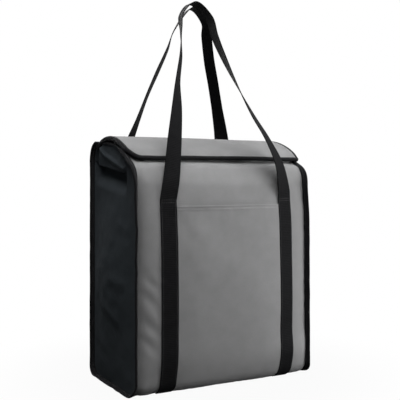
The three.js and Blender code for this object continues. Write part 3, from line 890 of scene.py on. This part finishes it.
def webbing(name, face, side, bulge, route):
    """One handle: up the left of a wall, over in a twisting loop, and down the right."""
    inner_edge = strap_middle - strap_half
    root_y = side * (half_depth + swell(bulge, inner_edge, strap_end) + strap_gap + strap_thick / 2)
    root_z = strap_end + strap_gap
    share = np.linspace(0, 1, 241)
    free = curve_through([
        (across * strap_middle, root_y * (1 - lean), root_z + up * handle_height)
        for across, lean, up, _ in route
    ], share)
    turn = np.radians(curve_through([(k, row[3]) for k, row in enumerate(route)], share)[:, 1])
    flat = np.stack([np.cos(turn), np.sin(turn), np.zeros_like(turn)], 1)
    ahead = unit(np.gradient(free, axis=0))
    free_width = square_to(flat, ahead)
    clear = free[:, 2] > strap_end + 0.007
    left, left_width, left_out = sewn_strap(face, -strap_middle)
    right, right_width, right_out = sewn_strap(face, strap_middle)
    end_sign = np.sign(free_width[-1, 0])
    middle = np.concatenate([left, free[clear], right[::-1]])
    width = np.concatenate([left_width, free_width[clear], end_sign * right_width[::-1]])
    ahead = unit(np.gradient(middle, axis=0))
    width = square_to(width, ahead)
    up = np.cross(ahead, width)
    rings = middle[:, None] + width[:, None] * web_section[:, :1] + up[:, None] * web_section[:, 1:]
    rings[..., 2] = np.maximum(rings[..., 2], 0.0003)
    made = add_piece(name, ring_mesh(rings, web_section, run_of(middle)), webbing_finish)
    return made, ((left, left_width, left_out), (right, right_width, right_out))


for name, face, side, bulge, route in (
    ("front", front_face, -1, front_bulge, front_route), ("back", back_face, 1, back_bulge, back_route),
):
    loop, straps = webbing(name + "_webbing", face, side, bulge, route)
    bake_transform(loop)
    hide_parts(name + "_left_strap", name + "_right_strap", name + "_handle")
    rows = []
    for middle, width, out in straps:
        top = middle + out * (strap_thick / 2 + 0.0001)
        for edge in (-stitch_line, stitch_line):
            rows.append((top[5:] + edge * width[5:], out[5:]))
        for row in (-1, -2):
            span = np.linspace(-stitch_line, stitch_line, 12)[:, None]
            rows.append((top[row] + span * width[row], np.tile(out[row], (12, 1))))
    thread_rows(name + "_strap_stitches", rows, black_thread, "bag", 0.0032, 0.0025, 0.0003)

# Lid: a padded flap of the grey cloth that runs on from the top of the back wall, over the mouth and a
# little down the front. Its left front corner is rounded and droops.
lid_edge = 0.176
tail = back_shoulder[-15:]
lid_along, lid_place, lid_out = stations(np.concatenate([tail[:-1], lid_line]), 1, 0.0025)
lid_along = lid_along - run_of(tail)[-1]
lid_end = lid_along[-1]
lid_across = np.linspace(-lid_edge, lid_edge, 111)
s, x = grid(lid_along, lid_across)
share = np.clip(s / lid_end, 0, 1)
flat = laid_flat(x, s)
lift = 0.0032 * np.sin(np.pi * share) ** 0.8 * (1 + 0.35 * ripple(flat, 0.11, 71.0))
lift -= 0.0012 * hump(lid_edge - np.abs(x), 0.006)
left_droop = smooth(lid_edge - 0.03, lid_edge, -x) * smooth(0.30, 0.75, share)
front_bend = smooth(0.88, 1.0, share)
wave = ripple(flat * (1, 0.2, 1), 0.06, 75.0)
y = lid_place[:, :1] + lid_out[:, :1] * lift - 0.0026 * front_bend
front_drop = 0.0046 + 0.0015 * smooth(-0.05, 0.17, -x) + 0.0010 * wave
z = lid_place[:, 1:] + lid_out[:, 1:] * lift - front_bend * front_drop - 0.0025 * left_droop
lid_face = Face(lid_along, lid_across, np.stack([x, y, z], -1), np.array([0.0, 0.0, 1.0]))
left_corner = 0.026
right_corner = 0.004


def lid_rounded(s, x):
    """Draws the front corners of the flat cut in to their rounding."""
    s, x = s.copy(), x.copy()
    for side, radius in ((-1, left_corner), (1, right_corner)):
        over = side * x - (lid_edge - radius)
        ahead = s - (lid_end - radius)
        far = np.hypot(over, ahead)
        outside = (over > 0) & (ahead > 0) & (far > radius)
        pull = np.where(outside, radius / np.maximum(far, 1e-9), 1.0)
        x = np.where(outside, side * (lid_edge - radius + over * pull), x)
        s = np.where(outside, lid_end - radius + ahead * pull, s)
    return s, x


def lid_thick(s, x):
    """The padding is pressed thin along the bound edges, most at the front."""
    pressed = 0.5 * hump(lid_end - s, 0.008)
    pressed = np.maximum(pressed, 0.08 * hump(lid_edge - np.abs(x), 0.008))
    return padding * (1 - pressed)


hinge_skip = 0.0003
lid_rows = np.concatenate([[hinge_skip], lid_along[lid_along > 0.001]])
s, x = grid(lid_rows, lid_across)
cut_s, cut_x = lid_rounded(s, x)
lid = add_piece(
    "lid_flap", sheet_on(lid_face, cut_s, cut_x, 0.0, -lid_thick(cut_s, cut_x)), grey_cloth
)
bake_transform(lid)
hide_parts("lid_panel", "lid_foam")

# Lid edge tape: a folded black tape sewn through with two rows of thread over the left, front and right
# edges of the lid. Its ends run on over the hinge, a little way down the back wall.
tape_start = lid_along[0] + 0.001
tape_stitch_inset = 0.0032
lid_section = np.array([
    (4.5, 0.2), (4.5, 0.8), (3, 1), (0.7, 1), (-0.5, 0.5), (-1.1, -0.6), (-1.3, -1.9), (-1.1, -3.3),
    (-0.5, -4.3), (0.7, -4.7), (3, -5.1), (10, -5.4), (10, -4.8), (0.6, -4), (-0.3, -3.4), (-0.4, -1.9),
    (-0.3, -0.3), (0.6, 0.2),
]) / 1000


def corner_path(side, radius, turns):
    s, x = lid_end - radius, side * (lid_edge - radius)
    return [
        (s + radius * math.sin(turn), x + radius * math.cos(turn), -math.sin(turn), -math.cos(turn))
        for turn in np.radians(turns)
    ]


def edge_path():
    """Round the lid's three free edges: place on the cut and the direction inwards."""
    left_run = np.linspace(tape_start, lid_end - left_corner, 58)[:-1]
    front_run = np.linspace(-lid_edge + left_corner, lid_edge - right_corner, 90)[1:-1]
    right_run = np.linspace(lid_end - right_corner, tape_start, 60)[1:]
    rows = [(s, -lid_edge, 0.0, 1.0) for s in left_run]
    rows += corner_path(-1, left_corner, np.linspace(180, 90, 11))
    rows += [(lid_end, x, -1.0, 0.0) for x in front_run]
    rows += corner_path(1, right_corner, np.linspace(90, 0, 7))
    rows += [(s, lid_edge, 0.0, -1.0) for s in right_run]
    return np.array(rows)


def inside_edge(path, distance):
    """A path along an edge, moved in from the edge by a distance."""
    return path[:, 0] + distance * path[:, 2], path[:, 1] + distance * path[:, 3]


def over_edge(face, path, section, deep=1.0):
    """Rings of a folded tape: each point of the section is a distance in from the edge and a lift."""
    rings = []
    inward = unit(face.at(*inside_edge(path, 0.004)) - face.at(path[:, 0], path[:, 1]))
    for inside, lift in section:
        lift = lift * deep if lift < 0 else lift
        place = face.at(*inside_edge(path, max(inside, 0)), lift)
        rings.append(place + min(inside, 0) * inward)
    return np.stack(rings, 1)


lid_path = edge_path()
tape_deep = 1 + 0.5 * lid_path[:, 3] ** 2
rings = over_edge(lid_face, lid_path, lid_section, tape_deep)
lid_tape = add_piece("lid_edge_tape", ring_mesh(rings, lid_section, run_of(rings[:, 6])), black_tape)
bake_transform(lid_tape)
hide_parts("lid_tape")
stitched = inside_edge(lid_path, tape_stitch_inset)
tape_rows = [row_on(lid_face, *stitched, 0.0010), row_on(lid_face, *stitched, -0.0051 * tape_deep, -1)]
lid_stitches = thread_rows("lid_tape_stitches", tape_rows, black_thread, None)
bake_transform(lid_stitches)

# Base: a black cloth bottom sewn between the walls, and a stiff black plastic board that lies on it and
# keeps the bag's floor flat.
base_half = half_depth - base_radius
base_y = np.linspace(-base_half + 0.0003, base_half - 0.0003, 31)
x, y = np.meshgrid(np.linspace(-wall_edge, wall_edge, 71), base_y)
edge = np.minimum(wall_edge - np.abs(x), base_half - np.abs(y))
low = np.stack([x, y, 0.0004 * np.exp(-edge / 0.003) + 0.0001], -1)
high = np.stack([x, y, np.full_like(x, 0.0010)], -1)
bottom = add_piece("bottom_cover", closed_sheet(low, high, x, y), black_cloth, "bag")
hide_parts("bottom_panel")

board_finish, board_tree = new_finish("black_base_board")
board_grain = grain(board_tree, object_place(board_tree), 700.0, 4.0)
board_black = ((0.022, 0.022, 0.024, 1), (0.04, 0.04, 0.042, 1))
dress(board_tree, board_grain, board_black, board_grain, (0.5, 0.65), board_grain, 0.3, 0.0002)
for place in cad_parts["base_board"].material_slots:
    place.material = board_finish

# Linings: silver coated film, crinkled, glued over the foam of every wall, the floor and the lid. The
# films of the front and back are narrower at the top, where the gussets fold in between them.
film_thick = 0.0005
film_gap = 0.0004
film_half = 0.160
film_flare = 0.055
pad_half = 0.1681
pad_depth = 0.0791
pad_top = 0.0080
pad_low = 0.0037
board_depth = 0.0745
film, film_tree = new_finish("silver_film")
film_place = cloth_place(film_tree)
film_cells = node(film_tree, "TexVoronoi", {"Vector": film_place, "Scale": 60.0}, feature="DISTANCE_TO_EDGE")
film_fine = grain(film_tree, film_place, 150.0, 5.0)
# The film's colour follows its crinkle pattern and is darker along the crinkle lines, where its relief is
# lowest: painted shade in the creases.
film_crinkle_and_crease_shade = weighted(film_tree, (film_cells.outputs[0], 0.6), (film_fine, 0.6))
film_silver = ((0.42, 0.435, 0.46, 1), (0.62, 0.635, 0.66, 1))
film_inputs = dress(film_tree, film_crinkle_and_crease_shade, film_silver, film_fine, (0.28, 0.5), film_crinkle_and_crease_shade, 0.5, 0.0008)
film_inputs["Metallic"].default_value = 0.55


def crinkled(flat, turn):
    return 0.0006 * np.abs(ripple(flat, 0.03, turn)) + 0.0005 * np.abs(ripple(flat, 0.012, turn + 1))


for name, face, wall, turn in (
    ("front", front_face, front_wall, 91.0), ("back", back_face, back_wall, 95.0),
):
    along = np.linspace(pocket_low, face.along[-1] - 0.0006, 96)
    s, x = grid(along, np.linspace(-film_half, film_half, 75))
    x = x * (1 + film_flare * (1 - smooth(0.29, 0.335, s)))
    depth = padding + film_gap + crinkled(laid_flat(x, s), turn)
    piece = add_piece(
        name + "_film", sheet_on(face, s, x, -depth, -depth - film_thick), film, "bag"
    )
    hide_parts(name + "_lining")

for hand, side in (("left", -1), ("right", 1)):
    _, inner, y = gussets[hand]
    rows = np.arange(np.searchsorted(gusset_along, 0.024), len(gusset_along))
    columns = np.arange(gusset_columns)[8:-3]
    base = inner[np.ix_(rows, columns)]
    flat = np.stack([base[..., 1], base[..., 2], np.full(base.shape[:2], side)], -1)
    depth = 0.0006 + crinkled(flat, 99.0 + side)
    near = base.copy()
    near[..., 0] -= side * depth
    far = near.copy()
    far[..., 0] -= side * film_thick
    piece = add_piece(
        hand + "_gusset_film",
        closed_sheet(near, far, y[np.ix_(rows, columns)], gusset_along[rows][:, None]),
        film, "bag",
    )
    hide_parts(hand + "_lining")

x, y = np.meshgrid(np.linspace(-pad_half, pad_half, 71), np.linspace(-pad_depth, pad_depth, 35))
flat = laid_flat(x, y)
edge = np.minimum(pad_half - np.abs(x), pad_depth - np.abs(y))
floor_top = pad_top - 0.0012 * hump(edge, 0.004) + 0.6 * crinkled(flat, 103.0)
floor_low = np.where(np.abs(y) > board_depth, floor_top - 0.001, pad_low)
base_pad = add_piece(
    "base_pad",
    closed_sheet(np.stack([x, y, floor_top], -1), np.stack([x, y, floor_low], -1), x, y),
    film, "bag",
)
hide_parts("bottom_foam", "bottom_lining")

film_s = np.linspace(0.0012, lid_end - 0.0012, 60)
s, x = grid(film_s, np.linspace(-lid_edge + 0.0015, lid_edge - 0.0015, 75))
cut_s, cut_x = lid_rounded(s, x)
depth = lid_thick(cut_s, cut_x) + 0.0003 + 0.4 * crinkled(laid_flat(x, s), 107.0)
lid_film = add_piece(
    "lid_film", sheet_on(lid_face, cut_s, cut_x, -depth, -depth - film_thick), film
)
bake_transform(lid_film)
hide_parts("lid_lining")

# Mouth bindings: folded black tape over the free top edges of the front wall and of the two gussets. It
# covers the raw edges of cloth, foam and film.
mouth_section = np.array([
    (8, 0.3), (8, 0.9), (4, 1.1), (0.6, 1), (-0.7, 0.3), (-1.2, -3.2), (-0.7, -6.8), (0.6, -7.6), (4, -7.8),
    (8, -7.6), (8, -7), (0.4, -7), (-0.3, -6.2), (-0.4, -3.2), (-0.3, -0.4), (0.4, 0.3),
]) / 1000
mouth_half = 0.1598
mouth_x = np.linspace(-mouth_half, mouth_half, 80)
mouth_end = np.full_like(mouth_x, front_face.along[-1])
mouth_path = np.stack([mouth_end, mouth_x, np.full_like(mouth_x, -1.0), np.zeros_like(mouth_x)], 1)
rings = over_edge(front_face, mouth_path, mouth_section)
mouth_tape = add_piece(
    "front_mouth_binding", ring_mesh(rings, mouth_section, run_of(rings[:, 5])), black_tape, "bag"
)
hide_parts("front_mouth_tape")

gusset_section = np.array([
    (3.5, 0.6), (3.4, 1.2), (0.5, 1.3), (-0.8, 0.6), (-1.3, -3.2), (-0.8, -7), (0.5, -7.8), (3.4, -7.7),
    (3.5, -7.1), (0.4, -7.1), (-0.4, -3.2), (0.4, 0.6),
]) / 1000
for hand, side in (("left", -1), ("right", 1)):
    face = gussets[hand][0]
    top = face.points[-1, 4:-4]
    under = face.points[-7, 4:-4]
    inward = unit(under - top)
    sideways = np.array([side, 0.0, 0.0])
    rings = np.stack([top + inside * inward + lift * sideways for inside, lift in gusset_section], 1)
    binding = add_piece(
        hand + "_mouth_binding", ring_mesh(rings, gusset_section, run_of(rings[:, 4])),
        black_tape, "bag",
    )
    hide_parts(hand + "_mouth_tape")

# Closure: a strip of loop tape sewn on the front wall just below its mouth, and a strip of hook tape under
# the lid, where the lid comes down on it.
strip_half = 0.110
strip_lid = [np.interp(share, np.linspace(0, 1, 101), run_of(lid_line)) for share in (0.82, 0.92)]
strip_front = [
    front_along[np.argmin(np.linalg.norm(front_place - place, axis=1))]
    for place in (lid_line - mouth_gap * lid_normal)[[92, 82]]
]


def fuzzy(name, cells, deep):
    """The short pile of hook or loop tape."""
    finish, tree = new_finish(name)
    pile = node(tree, "TexVoronoi", {"Vector": cloth_place(tree), "Scale": cells}).outputs[0]
    black = ((0.009, 0.009, 0.010, 1), (0.028, 0.028, 0.030, 1))
    dress(tree, pile, black, pile, (0.7, 0.95), pile, 0.8, deep)["Sheen Weight"].default_value = 0.2
    return finish


def strip(face, along, low, high):
    s, x = grid(np.linspace(*along, 9), np.linspace(-strip_half, strip_half, 61))
    edge = np.minimum(strip_half - np.abs(x), np.minimum(s - along[0], along[1] - s))
    top = high - 0.0002 * np.exp(-edge / 0.0008)
    return sheet_on(face, s, x, top, low)


for name, face, run, low, high, cells, deep, body in (
    ("loop", front_face, strip_front, 0.0002, 0.0009, 1400.0, 0.0005, "bag"),
    ("hook", lid_face, strip_lid, -0.0073, -0.0067, 900.0, 0.0007, "lid"),
):
    pile = fuzzy(name + "_pile", cells, deep)
    piece = add_piece(name + "_tape", strip(face, run, low, high), pile, body)
    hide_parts(name + "_strip")

low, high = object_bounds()
